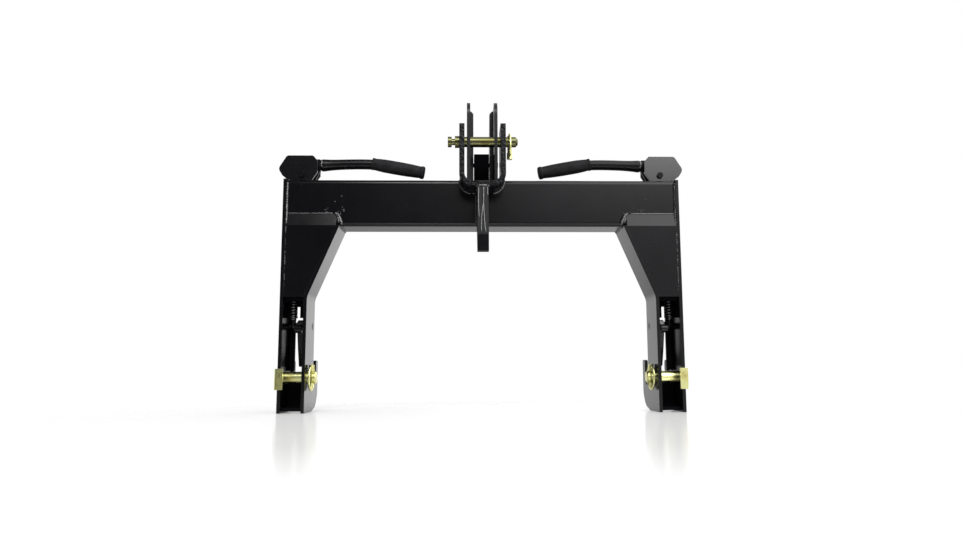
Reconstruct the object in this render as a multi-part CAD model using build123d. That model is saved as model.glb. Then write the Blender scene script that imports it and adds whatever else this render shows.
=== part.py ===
# Three point quick hitch, category 1 size.
# X runs across the hitch, +Y from the tractor side to the implement side, +Z up.
# The legs' front edges lie on Y = 0 and the feet on Z = 0 until save() moves Y to the middle.

import math
import os

from build123d import *

os.makedirs("parts", exist_ok=True)

# Driving dimensions, millimetres
HOOK_SPREAD = 686.0
PLATE = 6.0
LEG_GAP = 37.0
LEG_DEPTH = 76.0
WELD_GAP = 0.2
REST_GAP = 0.3
FIT = 0.05
EASE = 2.0

BEAM_Y = 6.0
BEAM_DEPTH = LEG_DEPTH - BEAM_Y
BEAM_HEIGHT = 88.0
BEAM_Z = 341.0
BEAM_WALL = 6.0
BEAM_ROUND = 8.0

KNEE_Z = 209.0
KNEE_RUN = 56.0
KNEE_ROUND = 40.0
COVER_THICK = 4.0
COVER_RISE = 23.5

MOUTH_WIDE = 26.0
SEAT_Z = 47.0
PRONG_THICK = 18.0
PRONG_TOP = 95.0
HEEL_IN = 16.0
HEEL_Z = 8.0
HEEL_TOP = 30.0
WEB_Y = 60.0
WEB_TOP = 62.0
WEB_FOOT = 3.0
WEB_LIP = 48.0

LINK_PIN_R = 11.0
LINK_PIN_Y = 30.0
LINK_PIN_Z = 63.0
LINK_PIN_REACH = 15.5
LOCK_THICK = 4.6
LOCK_TALL = 37.5
LOCK_DROP = 2.6
LOCK_BACK = 44.0
LINCH_FROM_PLATE = 6.0

LINCH_R = 4.0
LINCH_HEAD_R = 5.0
LINCH_HEAD_TALL = 12.0
LINCH_TIP = 20.5
RING_R = 23.0
RING_WIRE_R = 2.0
RING_EYE = 17.0
RING_BEND = 5.0
RING_FOOT = 3.0

TOP_PIN_R = 9.5
TOP_PIN_Y = -28.0
TOP_PIN_UP = 62.0
TOP_PIN_OUT = 23.0
TOP_PIN_CHAMFER = 4.0
TOP_LINCH_OUT = 8.0
TOP_LINCH_DROP = 9.5

CLEVIS_THICK = 9.5
CLEVIS_GAP = 4.5
CLEVIS_FRONT = -55.0
CLEVIS_DROP = 26.0
CLEVIS_OVER_PIN = 27.0
CLEVIS_BEND = 23.0

GUSSET_THICK = 20.0
NOSE_FRONT = -83.0
NOSE_Z = 281.5
NOSE_TOP = 310.0

MAST_IN = 22.0
MAST_FRONT = -38.0
MAST_OVER_PIN = 79.5
MAST_CORNER = 28.0
MAST_FLAT_BACK = 45.0
TOP_SEAT_Y = 104.0
TOP_SEAT_Z = 441.0
TOP_MOUTH = 34.0
TOP_PRONG = 20.0
TOP_PRONG_Z = 468.0
TOP_HOOK_Z = 404.0
DOUBLER_THICK = 6.5
DOUBLER_FRONT = 30.0
DOUBLER_CHAMFER = 6.0

BLOCK_HALF = 14.3
BLOCK_DEEP = 30.0
BLOCK_TOP = 485.0
BLOCK_PIN_R = 4.0
BLOCK_PIN_Y = DOUBLER_FRONT + BLOCK_DEEP / 2
BLOCK_PIN_Z = 467.0

BOX_THICK = 5.0
BOX_FRONT = 18.0
BOX_REAR = 48.0
BOX_TOP = 49.0
BOX_FOOT_IN = 41.0
BOX_FOOT_OUT = 1.0
BOX_HIP_OUT = 12.8
BOX_HIP_UP = 10.3
BOX_TIP_OUT = 21.0
BOX_TIP_UP = 23.5
BOX_CORNER_OUT = 5.0
BOX_SHOULDER_IN = 44.0
BOX_BACK_IN = 52.5
BOX_BACK_UP = 39.0
BOX_BACK_LOW = 17.0
BOX_ROUND = 6.0
BOX_TIP_ROUND = 10.0
PIVOT_X = 338.0
PIVOT_UP = 12.0
PIVOT_R = 3.5
BOLT_HEAD_R = 6.0
BOLT_HEAD_TALL = 4.0

LEVER_Y = 34.0
LEVER_HUB_R = 11.0
LEVER_REST_DEG = 20.0
LEVER_TURN_DEG = 60.0
TUBE_R = 9.5
TUBE_WALL = 2.5
TUBE_X = 306.0
TUBE_BEND_X = 213.0
TUBE_UP = 34.0
TUBE_BEND_UP = 38.5
TUBE_END_X = 112.0
TUBE_END_UP = 20.5
TUBE_BEND_R = 30.0
GRIP_R = 12.7
GRIP_NECK_R = 11.2
GRIP_COLLAR_R = 11.8
GRIP_END_R = 12.3
GRIP_COLLAR = 4.0
GRIP_SWELL = 26.0
GRIP_LONG = 98.0
GRIP_CAP = 3.0

ROD_R = 3.0
ROD_X = 328.5
ROD_Y = 28.5
ROD_LOW_X = 348.5
ROD_JOG_TOP = 325.0
ROD_JOG_FOOT = 245.0
ROD_BEND = 5.0
ROD_JOG_BEND = 20.0
ROD_EYE_EASE = 0.5
PAWL_EYE_EASE = 0.8
SLOT_EASE = 0.75

PAWL_THICK = 12.0
PAWL_GAP = 17.0
PAWL_Y = 58.0
PAWL_Z = 158.0
PAWL_HUB_R = 12.0
PAWL_EYE_R = 8.0
PAWL_PIN_R = 6.5
NOSE_TIP_Y = 104.0
NOSE_UNDER_Z = 83.0

TAB_Z = 203.0
TAB_THICK = 8.5
TAB_FRONT = 14.0
TAB_BACK = 44.0
APRON_THICK = 4.0
APRON_FOOT = 173.0
NOTCH_OUT = 19.5
NOTCH_WIDE = 5.6
NOTCH_TALL = 20.5
STRIP_WIDE = 9.5
STRIP_FRONT = 65.0
STRIP_BACK = 71.0
STRIP_FOOT = 75.0
COLLAR_Z = 168.0
COLLAR_TALL = 4.0
COLLAR_HUB_R = 6.0
COLLAR_FLANGE_R = 8.5
SPRING_IN_R = 5.0
SPRING_OUT_R = 7.5

# Shared positions worked out from the driving dimensions
LEG_X = HOOK_SPREAD / 2
INNER_IN = LEG_X - LEG_GAP / 2 - PLATE
INNER_OUT = INNER_IN + PLATE
OUTER_IN = LEG_X + LEG_GAP / 2
OUTER_OUT = OUTER_IN + PLATE
BEAM_TOP = BEAM_Z + BEAM_HEIGHT
MOUTH_R = MOUTH_WIDE / 2
PRONG_IN = LEG_DEPTH + MOUTH_WIDE
PRONG_OUT = PRONG_IN + PRONG_THICK
HEEL_Y = PRONG_OUT - HEEL_IN
LEVER_Z = BEAM_TOP + PIVOT_UP
MAST_OUT = MAST_IN + PLATE
TOP_PIN_Z = BEAM_TOP + TOP_PIN_UP
MAST_TOP = TOP_PIN_Z + MAST_OVER_PIN
CLEVIS_HALF = MAST_OUT + CLEVIS_GAP + CLEVIS_THICK
CLEVIS_Z = BEAM_TOP - CLEVIS_DROP
CLEVIS_TOP = TOP_PIN_Z + CLEVIS_OVER_PIN
TOP_PIN_END = CLEVIS_HALF + TOP_PIN_OUT
TOP_LINCH_X = CLEVIS_HALF + TOP_LINCH_OUT
ROD_ARM = PIVOT_X - ROD_X
ROD_DOWN = ROD_ARM * math.tan(math.radians(LEVER_REST_DEG))
ROD_UP = ROD_ARM * math.tan(math.radians(LEVER_TURN_DEG - LEVER_REST_DEG))
ROD_STROKE = ROD_DOWN + ROD_UP
EYE_Z = PAWL_Z - ROD_STROKE / 2
PAWL_OUT = OUTER_IN - PAWL_GAP
PAWL_IN = PAWL_OUT - PAWL_THICK
TOP_HOOK_BACK = TOP_SEAT_Y + TOP_MOUTH / 2 + TOP_PRONG
Y_SHIFT = -(NOSE_FRONT + TOP_HOOK_BACK) / 2


def corner_arcs(corners, closed):
    """Edges through (point, radius) corners, each corner rounded by its radius."""
    count = len(corners)
    enter = []
    leave = []
    middle = []
    for i, (point, radius) in enumerate(corners):
        at_end = not closed and i in (0, count - 1)
        if at_end or radius <= 0:
            enter.append(point)
            leave.append(point)
            middle.append(None)
            continue
        back = (corners[i - 1][0] - point).normalized()
        ahead = (corners[(i + 1) % count][0] - point).normalized()
        half = math.radians(back.get_angle(ahead)) / 2
        inward = (back + ahead).normalized()
        enter.append(point + back * (radius / math.tan(half)))
        leave.append(point + ahead * (radius / math.tan(half)))
        middle.append(point + inward * (radius / math.sin(half) - radius))
    edges = []
    for i in range(count):
        if middle[i] is not None:
            edges.append(ThreePointArc(enter[i], middle[i], leave[i]))
        if not closed and i == count - 1:
            break
        start = leave[i]
        end = enter[(i + 1) % count]
        if (end - start).length > 1e-6:
            edges.append(Line(start, end))
    return edges


def face(*corners):
    """A flat face from (u, v) or (u, v, radius) corners."""
    points = [(Vector(c[0], c[1]), c[2] if len(c) > 2 else 0) for c in corners]
    return Face(Wire(corner_arcs(points, closed=True)))


def across(profile, x0, x1):
    """A (Y, Z) profile made solid from x0 to x1."""
    return extrude(Plane.YZ.offset(x0) * profile, amount=x1 - x0, dir=(1, 0, 0))


def through(profile, y0, y1):
    """An (X, Z) profile made solid from y0 to y1."""
    return extrude(Plane.XZ.offset(-y0) * profile, amount=y1 - y0, dir=(0, 1, 0))


def upward(profile, z0, z1):
    """An (X, Y) profile made solid from z0 to z1."""
    return extrude(Plane.XY.offset(z0) * profile, amount=z1 - z0, dir=(0, 0, 1))


def block(x0, x1, y0, y1, z0, z1):
    """A box between two opposite corners."""
    return Pos((x0 + x1) / 2, (y0 + y1) / 2, (z0 + z1) / 2) * Box(x1 - x0, y1 - y0, z1 - z0)


def rod_x(y, z, radius, x0, x1):
    """A round bar along X."""
    return across(Pos(y, z) * Circle(radius), x0, x1)


def rod_y(x, z, radius, y0, y1):
    """A round bar along Y."""
    return through(Pos(x, z) * Circle(radius), y0, y1)


def rod_z(x, y, radius, z0, z1):
    """A round bar along Z."""
    return upward(Pos(x, y) * Circle(radius), z0, z1)


def sweep_round(edges, radius, inner=0.0):
    """A round bar, or a tube with an inner radius, swept along joined edges."""
    path = Wire(edges)
    start = Plane(origin=path @ 0, z_dir=path % 0)
    solid = sweep(start * Circle(radius), path=path)
    if inner > 0:
        solid -= sweep(start * Circle(inner), path=path)
    return solid


def bent_bar(corners, radius, inner=0.0):
    """A round bar through (x, y, z, bend radius) corners."""
    points = [(Vector(*c[:3]), c[3]) for c in corners]
    return sweep_round(corner_arcs(points, closed=False), radius, inner)


def save(name, shape):
    """Writes one node, moved so that the whole hitch is centred on Y = 0."""
    moved = Pos(0, Y_SHIFT, 0) * shape
    moved.label = name
    export_step(moved, "parts/" + name + ".step")


def save_pair(name, shape):
    """Writes a right hand node and its left hand mirror image."""
    save("right_" + name, shape)
    save("left_" + name, mirror(shape, about=Plane.YZ))


def beam_outline(grow=0.0):
    """The beam's (Y, Z) section, grown outward by a clearance."""
    y0 = BEAM_Y - grow
    y1 = BEAM_Y + BEAM_DEPTH + grow
    z0 = BEAM_Z - grow
    z1 = BEAM_TOP + grow
    radius = BEAM_ROUND + grow
    return face((y0, z0, radius), (y1, z0, radius), (y1, z1, radius), (y0, z1, radius))


def beam_inside():
    """The hollow of the beam."""
    y0 = BEAM_Y + BEAM_WALL
    y1 = BEAM_Y + BEAM_DEPTH - BEAM_WALL
    z0 = BEAM_Z + BEAM_WALL
    z1 = BEAM_TOP - BEAM_WALL
    radius = BEAM_ROUND - BEAM_WALL
    return face((y0, z0, radius), (y1, z0, radius), (y1, z1, radius), (y0, z1, radius))


# Main beam, with one hole in its top and bottom wall for each latch rod
beam = across(beam_outline(), -OUTER_IN, OUTER_IN)
beam -= across(beam_inside(), -OUTER_IN, OUTER_IN)
for side in (-1, 1):
    beam -= rod_z(side * ROD_X, ROD_Y, ROD_R + ROD_EYE_EASE, BEAM_Z - 1, BEAM_TOP + 1)
save("cross_beam", beam)


def leg_profile(top):
    """A leg plate's (Y, Z) shape with its open lower hook."""
    return face(
        (0, 0, EASE),
        (LEG_DEPTH - 8, 0, 15),
        (HEEL_Y, HEEL_Z, 30),
        (PRONG_OUT, HEEL_TOP, 25),
        (PRONG_OUT, PRONG_TOP, 6),
        (PRONG_IN, PRONG_TOP, 5),
        (PRONG_IN, SEAT_Z, MOUTH_R),
        (LEG_DEPTH, SEAT_Z, MOUTH_R),
        (LEG_DEPTH, top, EASE),
        (0, top, EASE),
    )


def pin_holes(x0, x1):
    """The link pin and latch pivot holes of a leg plate."""
    holes = rod_x(LINK_PIN_Y, LINK_PIN_Z, LINK_PIN_R + FIT, x0 - 1, x1 + 1)
    return holes + rod_x(PAWL_Y, PAWL_Z, PAWL_PIN_R, x0 - 1, x1 + 1)


outer_plate = across(leg_profile(BEAM_TOP), OUTER_IN, OUTER_OUT)
outer_plate -= pin_holes(OUTER_IN, OUTER_OUT)
save_pair("outer_plate", outer_plate)

# Inner leg plate, upright to the knee and then leaning in to meet the beam
lean = math.hypot(KNEE_RUN, BEAM_Z - KNEE_Z)
thick_x = PLATE * lean / (BEAM_Z - KNEE_Z)
knee_shift = thick_x - PLATE
knee_out_z = KNEE_Z + knee_shift * (BEAM_Z - KNEE_Z) / KNEE_RUN
knee_path = face(
    (INNER_IN, -1),
    (INNER_IN, KNEE_Z, KNEE_ROUND - PLATE),
    (INNER_IN - KNEE_RUN, BEAM_Z),
    (INNER_IN - KNEE_RUN + thick_x, BEAM_Z),
    (INNER_OUT, knee_out_z, KNEE_ROUND),
    (INNER_OUT, -1),
)
inner_plate = through(knee_path, -1, PRONG_OUT + 1)
inner_plate &= across(leg_profile(BEAM_Z + EASE), INNER_IN - KNEE_RUN, INNER_OUT)
inner_plate -= pin_holes(INNER_IN, INNER_OUT)
save_pair("inner_plate", inner_plate)

# Folded cover that closes the front of the leg below the beam
cover_profile = face(
    (0, KNEE_Z),
    (COVER_THICK, KNEE_Z),
    (COVER_THICK, BEAM_Z - 4),
    (BEAM_Y - WELD_GAP, BEAM_Z),
    (BEAM_Y - WELD_GAP, BEAM_Z + COVER_RISE),
    (0, BEAM_Z, EASE),
)
cover = across(cover_profile, INNER_IN - KNEE_RUN + thick_x, OUTER_IN)
cover_window = face(
    (INNER_OUT + WELD_GAP, KNEE_Z - 1),
    (INNER_OUT + WELD_GAP, knee_out_z, KNEE_ROUND),
    (INNER_IN - KNEE_RUN + thick_x + WELD_GAP, BEAM_Z),
    (INNER_IN - KNEE_RUN + thick_x + WELD_GAP, BEAM_Z + COVER_RISE + 1),
    (OUTER_IN, BEAM_Z + COVER_RISE + 1),
    (OUTER_IN, KNEE_Z - 1),
)
save_pair("leg_cover", cover & through(cover_window, -1, BEAM_Y + 1))

# Bent web that ties the two plates together under the hook seat
web = across(
    face(
        (WEB_Y, WEB_TOP),
        (WEB_Y, WEB_FOOT + PLATE, 2),
        (WEB_Y - WEB_LIP, WEB_FOOT + PLATE),
        (WEB_Y - WEB_LIP, WEB_FOOT),
        (WEB_Y + PLATE, WEB_FOOT, 8),
        (WEB_Y + PLATE, WEB_TOP),
    ),
    INNER_OUT,
    OUTER_IN,
)
save_pair("hook_web", web)


def linch_parts(sign):
    """A linch pin and its spring ring about the ring's centre; sign +1 puts the head on top."""
    head_z = sign * RING_EYE
    half = LINCH_HEAD_TALL / 2
    pin = rod_z(0, 0, LINCH_HEAD_R, head_z - half, head_z + half)
    low, high = sorted((head_z - sign * half, -sign * LINCH_TIP))
    pin += rod_z(0, 0, LINCH_R, low, high)
    pin -= rod_y(0, head_z, RING_WIRE_R + FIT, -LINCH_HEAD_R - 1, LINCH_HEAD_R + 1)
    bend_z = RING_EYE - RING_BEND
    bend_y = math.sqrt((RING_R - RING_BEND) ** 2 - bend_z**2)
    swing = RING_R / (RING_R - RING_BEND)
    slope = math.atan2(bend_z, bend_y)
    middle = (math.pi / 2 + slope) / 2
    mid_y = bend_y + RING_BEND * math.cos(middle)
    mid_z = bend_z + RING_BEND * math.sin(middle)

    def at(y, z):
        return Vector(0, y, sign * z)

    edges = [
        Line(at(RING_FOOT, RING_EYE), at(bend_y, RING_EYE)),
        ThreePointArc(at(bend_y, RING_EYE), at(mid_y, mid_z), at(bend_y * swing, bend_z * swing)),
        ThreePointArc(
            at(bend_y * swing, bend_z * swing), at(0, -RING_R), at(-bend_y * swing, bend_z * swing)
        ),
        ThreePointArc(
            at(-bend_y * swing, bend_z * swing), at(-mid_y, mid_z), at(-bend_y, RING_EYE)
        ),
        Line(at(-bend_y, RING_EYE), at(-RING_FOOT, RING_EYE)),
    ]
    return pin, sweep_round(edges, RING_WIRE_R)


# Lower link pins: a shaft welded to an angled lock plate that hugs the leg's front edge
linch_x = INNER_IN - LINCH_FROM_PLATE
shaft = rod_x(LINK_PIN_Y, LINK_PIN_Z, LINK_PIN_R, INNER_IN - LINK_PIN_REACH, OUTER_OUT + REST_GAP)
shaft = chamfer(shaft.edges().group_by(Axis.X)[0], EASE)
lock_profile = face(
    (OUTER_OUT + REST_GAP, LOCK_BACK),
    (OUTER_OUT + REST_GAP + LOCK_THICK, LOCK_BACK),
    (OUTER_OUT + REST_GAP + LOCK_THICK, -REST_GAP - LOCK_THICK, LOCK_THICK),
    (OUTER_IN - LOCK_THICK, -REST_GAP - LOCK_THICK),
    (OUTER_IN - LOCK_THICK, -REST_GAP),
    (OUTER_OUT + REST_GAP, -REST_GAP),
)
lock_z = LINK_PIN_Z - LOCK_DROP
lock = upward(lock_profile, lock_z - LOCK_TALL / 2, lock_z + LOCK_TALL / 2)
link_pin = shaft + lock
link_pin -= rod_z(linch_x, LINK_PIN_Y, LINCH_R + FIT, 0, LINK_PIN_Z * 2)
save_pair("lower_link_pin", link_pin)
low_pin, low_ring = linch_parts(1)
low_place = Pos(linch_x, LINK_PIN_Y, LINK_PIN_Z + REST_GAP)
save_pair("lower_linch_pin", low_place * low_pin)
save_pair("lower_linch_ring", low_place * low_ring)

# Bent bar clevis for the tractor's top link
clevis_in = CLEVIS_HALF - CLEVIS_THICK
clevis_floor = CLEVIS_Z + CLEVIS_THICK
clevis = through(
    face(
        (-CLEVIS_HALF, CLEVIS_TOP),
        (-CLEVIS_HALF, CLEVIS_Z, CLEVIS_BEND),
        (CLEVIS_HALF, CLEVIS_Z, CLEVIS_BEND),
        (CLEVIS_HALF, CLEVIS_TOP),
        (clevis_in, CLEVIS_TOP),
        (clevis_in, clevis_floor, CLEVIS_BEND - CLEVIS_THICK),
        (-clevis_in, clevis_floor, CLEVIS_BEND - CLEVIS_THICK),
        (-clevis_in, CLEVIS_TOP),
    ),
    CLEVIS_FRONT,
    BEAM_Y - WELD_GAP,
)
top_bore = rod_x(TOP_PIN_Y, TOP_PIN_Z, TOP_PIN_R + FIT, -CLEVIS_HALF - 1, CLEVIS_HALF + 1)
save("top_link_clevis", clevis - top_bore)

gusset = across(
    face(
        (BEAM_Y - WELD_GAP, CLEVIS_Z - WELD_GAP),
        (CLEVIS_FRONT - EASE, CLEVIS_Z - WELD_GAP),
        (NOSE_FRONT + 2, NOSE_TOP + 8, 10),
        (NOSE_FRONT, NOSE_TOP, 5),
        (NOSE_FRONT, NOSE_Z, EASE),
        (NOSE_FRONT + 21, NOSE_Z, 4),
        (BEAM_Y - WELD_GAP, BEAM_Z + 2),
    ),
    -GUSSET_THICK / 2,
    GUSSET_THICK / 2,
)
save("clevis_gusset", gusset)

# Mast plates: the front carries the top link pin and the back is the open top hook
bend_centre = clevis_in - (CLEVIS_BEND - CLEVIS_THICK)
bend_drop = math.sqrt((CLEVIS_BEND - CLEVIS_THICK) ** 2 - (MAST_OUT - bend_centre) ** 2)
mast_foot = CLEVIS_Z + CLEVIS_BEND - bend_drop + REST_GAP
mouth_in = TOP_SEAT_Y - TOP_MOUTH / 2
mouth_out = TOP_SEAT_Y + TOP_MOUTH / 2
seat_floor = TOP_SEAT_Z - TOP_MOUTH / 2


def mast_profile(front, foot):
    """The (Y, Z) shape of a mast plate, or of a doubler when it starts further back."""
    return face(
        (front, foot),
        (front, MAST_TOP, MAST_CORNER if front < 0 else EASE),
        (MAST_FLAT_BACK, MAST_TOP, 16),
        (mouth_in, TOP_PRONG_Z + 14, 12),
        (mouth_in, seat_floor, TOP_MOUTH / 2),
        (mouth_out, seat_floor, TOP_MOUTH / 2),
        (mouth_out, TOP_PRONG_Z, 5),
        (TOP_HOOK_BACK, TOP_PRONG_Z, 10),
        (TOP_HOOK_BACK, TOP_HOOK_Z, 26),
        (BEAM_Y + BEAM_DEPTH / 2, TOP_HOOK_Z),
        (BEAM_Y + BEAM_DEPTH / 2, foot),
    )


beam_room = across(beam_outline(WELD_GAP), 0, CLEVIS_HALF)
block_pin_hole = rod_x(BLOCK_PIN_Y, BLOCK_PIN_Z, BLOCK_PIN_R + FIT, -CLEVIS_HALF, CLEVIS_HALF)
mast = across(mast_profile(MAST_FRONT, mast_foot), MAST_IN, MAST_OUT)
mast -= beam_room + top_bore + block_pin_hole
save_pair("mast_plate", mast)

doubler_in = MAST_IN - DOUBLER_THICK
doubler = across(mast_profile(DOUBLER_FRONT, BEAM_TOP), doubler_in, MAST_IN)
doubler -= beam_room + block_pin_hole
slope_cut = face(
    (doubler_in - 1, MAST_TOP + 1),
    (doubler_in - 1, MAST_TOP - DOUBLER_CHAMFER - 1),
    (MAST_IN - 0.5, MAST_TOP + 1),
)
doubler -= through(slope_cut, DOUBLER_FRONT - 1, MAST_FLAT_BACK)
save_pair("mast_doubler", doubler)

guide = block(
    -BLOCK_HALF,
    BLOCK_HALF,
    DOUBLER_FRONT,
    DOUBLER_FRONT + BLOCK_DEEP,
    BEAM_TOP + WELD_GAP,
    BLOCK_TOP,
)
save("hook_guide_block", guide - block_pin_hole)
block_pin = rod_x(BLOCK_PIN_Y, BLOCK_PIN_Z, BLOCK_PIN_R, -MAST_OUT, MAST_OUT)
block_pin += rod_x(
    BLOCK_PIN_Y, BLOCK_PIN_Z, BLOCK_PIN_R + 1.5, MAST_OUT + REST_GAP, MAST_OUT + 4
)
block_pin += rod_x(BLOCK_PIN_Y, BLOCK_PIN_Z, BLOCK_PIN_R, MAST_OUT, MAST_OUT + 1)
save("hook_guide_pin", block_pin)

# Top link pin, turned with a collar, a neck and a knob to pull it by
collar_end = -CLEVIS_HALF - REST_GAP - 7.7
neck_end = collar_end - 6
top_pin = rod_x(TOP_PIN_Y, TOP_PIN_Z, TOP_PIN_R, -CLEVIS_HALF - REST_GAP, TOP_PIN_END)
top_pin = chamfer(top_pin.edges().group_by(Axis.X)[-1], TOP_PIN_CHAMFER)
for low, high, radius in (
    (collar_end, -CLEVIS_HALF - REST_GAP, TOP_PIN_R + 1.5),
    (neck_end, collar_end, TOP_PIN_R - 3.7),
    (neck_end - 7, neck_end, TOP_PIN_R + 0.2),
):
    top_pin += rod_x(TOP_PIN_Y, TOP_PIN_Z, radius, low, high)
top_pin -= rod_z(TOP_LINCH_X, TOP_PIN_Y, LINCH_R + FIT, TOP_PIN_Z - 20, TOP_PIN_Z + 20)
save("top_link_pin", top_pin)
high_pin, high_ring = linch_parts(-1)
high_place = Pos(TOP_LINCH_X, TOP_PIN_Y, TOP_PIN_Z - TOP_LINCH_DROP)
save("top_linch_pin", high_place * high_pin)
save("top_linch_ring", high_place * high_ring)

# Lever box: two many-sided plates on the beam with the lever hung between them
box_profile = face(
    (OUTER_IN - BOX_FOOT_IN, BEAM_TOP),
    (OUTER_IN - BOX_FOOT_OUT, BEAM_TOP),
    (OUTER_IN + BOX_HIP_OUT, BEAM_TOP + BOX_HIP_UP, BOX_ROUND),
    (OUTER_IN + BOX_TIP_OUT, BEAM_TOP + BOX_TIP_UP, BOX_TIP_ROUND),
    (OUTER_IN + BOX_CORNER_OUT, BEAM_TOP + BOX_TOP, BOX_ROUND),
    (OUTER_IN - BOX_SHOULDER_IN, BEAM_TOP + BOX_TOP, BOX_ROUND / 2),
    (OUTER_IN - BOX_BACK_IN, BEAM_TOP + BOX_BACK_UP, BOX_ROUND / 2),
    (OUTER_IN - BOX_BACK_IN, BEAM_TOP + BOX_BACK_LOW, BOX_ROUND / 2),
)
pivot_hole = rod_y(PIVOT_X, LEVER_Z, PIVOT_R + FIT, BOX_FRONT - 1, BOX_REAR + BOX_THICK + 1)
for name, front in (("lever_box_front", BOX_FRONT), ("lever_box_rear", BOX_REAR)):
    save_pair(name, through(box_profile, front, front + BOX_THICK) - pivot_hole)


def hexagon(x, z, radius, y0, y1):
    """A six-sided head along Y."""
    return through(Pos(x, z) * RegularPolygon(radius, 6), y0, y1)


box_back = BOX_REAR + BOX_THICK
pivot_bolt = rod_y(PIVOT_X, LEVER_Z, PIVOT_R, BOX_FRONT - REST_GAP, box_back + 9)
pivot_bolt += hexagon(
    PIVOT_X, LEVER_Z, BOLT_HEAD_R, BOX_FRONT - REST_GAP - BOLT_HEAD_TALL, BOX_FRONT - REST_GAP
)
save_pair("lever_bolt", pivot_bolt)
nut = hexagon(PIVOT_X, LEVER_Z, BOLT_HEAD_R, box_back + REST_GAP, box_back + REST_GAP + 5.5)
save_pair("lever_nut", nut - rod_y(PIVOT_X, LEVER_Z, PIVOT_R, box_back, box_back + 9))

# Lever plate with a radial slot that lifts the latch rod
slot_near = ROD_ARM - 0.2
slot_far = ROD_ARM / math.cos(math.radians(LEVER_TURN_DEG - LEVER_REST_DEG)) + 0.2
slot_dir = (-math.cos(math.radians(LEVER_REST_DEG)), -math.sin(math.radians(LEVER_REST_DEG)))
slot_r = ROD_R + SLOT_EASE
lever = through(
    face(
        (TUBE_X + WELD_GAP, LEVER_Z + TUBE_UP - 22, 2),
        (TUBE_X + WELD_GAP, LEVER_Z + TUBE_UP, 2),
        (PIVOT_X - 16, LEVER_Z + TUBE_UP, 6),
        (PIVOT_X + 7.5, LEVER_Z + 8),
        (PIVOT_X, LEVER_Z - LEVER_HUB_R),
        (PIVOT_X - 20, LEVER_Z - LEVER_HUB_R, 5),
    ),
    LEVER_Y,
    LEVER_Y + PLATE,
)
lever += rod_y(PIVOT_X, LEVER_Z, LEVER_HUB_R, LEVER_Y, LEVER_Y + PLATE)
for reach in (slot_near, slot_far):
    slot_x = PIVOT_X + slot_dir[0] * reach
    slot_z = LEVER_Z + slot_dir[1] * reach
    lever -= rod_y(slot_x, slot_z, slot_r, LEVER_Y - 1, LEVER_Y + PLATE + 1)
slot_mid = (slot_near + slot_far) / 2
slot_box = Box(slot_far - slot_near, PLATE + 2, 2 * slot_r)
slot_place = Pos(
    PIVOT_X + slot_dir[0] * slot_mid, LEVER_Y + PLATE / 2, LEVER_Z + slot_dir[1] * slot_mid
)
lever -= slot_place * (Rot(0, -LEVER_REST_DEG, 0) * slot_box)
save_pair("lever_plate", lever - pivot_hole)

tube_y = LEVER_Y + PLATE / 2
tube_z = LEVER_Z + TUBE_UP - TUBE_R - 2
tube = bent_bar(
    [
        (TUBE_X + EASE, tube_y, tube_z, 0),
        (TUBE_BEND_X, tube_y, LEVER_Z + TUBE_BEND_UP - TUBE_R - 2, TUBE_BEND_R),
        (TUBE_END_X, tube_y, LEVER_Z + TUBE_END_UP - TUBE_R - 2, 0),
    ],
    TUBE_R,
    TUBE_R - TUBE_WALL,
)
tube &= block(0, TUBE_X, 0, LEG_DEPTH, BEAM_TOP, LEVER_Z + LEG_DEPTH)
save_pair("lever_tube", tube)

# Rubber grip, turned about the tube's sloping end
grip_dir = Vector(TUBE_END_X - TUBE_BEND_X, 0, TUBE_END_UP - TUBE_BEND_UP).normalized()
grip_end = Vector(TUBE_END_X, tube_y, LEVER_Z + TUBE_END_UP - TUBE_R - 2)
grip_turned = face(
    (TUBE_R + FIT, 0),
    (GRIP_COLLAR_R, 0),
    (GRIP_COLLAR_R, GRIP_COLLAR, 1),
    (GRIP_NECK_R, GRIP_COLLAR + 1),
    (GRIP_R, GRIP_SWELL, 60),
    (GRIP_R, GRIP_LONG - GRIP_SWELL, 60),
    (GRIP_NECK_R, GRIP_LONG - GRIP_COLLAR - 1),
    (GRIP_END_R, GRIP_LONG - GRIP_COLLAR, 1),
    (GRIP_END_R, GRIP_LONG + GRIP_CAP, EASE),
    (0, GRIP_LONG + GRIP_CAP),
    (0, GRIP_LONG + FIT),
    (TUBE_R + FIT, GRIP_LONG + FIT),
)
grip_axis = Plane(origin=grip_end - grip_dir * GRIP_LONG, x_dir=(0, 1, 0), z_dir=grip_dir)
grip_solid = revolve(Plane.XZ * grip_turned, axis=Axis.Z)
save_pair("lever_grip", grip_axis * grip_solid)

# Latch rod, bent at the top through the lever slot and at the foot through the pawl
rod_top_z = LEVER_Z - ROD_DOWN
rod = bent_bar(
    [
        (ROD_X, LEVER_Y + PLATE + 4, rod_top_z, 0),
        (ROD_X, ROD_Y, rod_top_z, ROD_BEND),
        (ROD_X, ROD_Y, ROD_JOG_TOP, ROD_JOG_BEND),
        (ROD_LOW_X, ROD_Y, ROD_JOG_FOOT, ROD_JOG_BEND),
        (ROD_LOW_X, ROD_Y, EYE_Z, ROD_BEND),
        (PAWL_IN - ROD_R, ROD_Y, EYE_Z, 0),
    ],
    ROD_R,
)
save_pair("latch_rod", rod)

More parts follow.
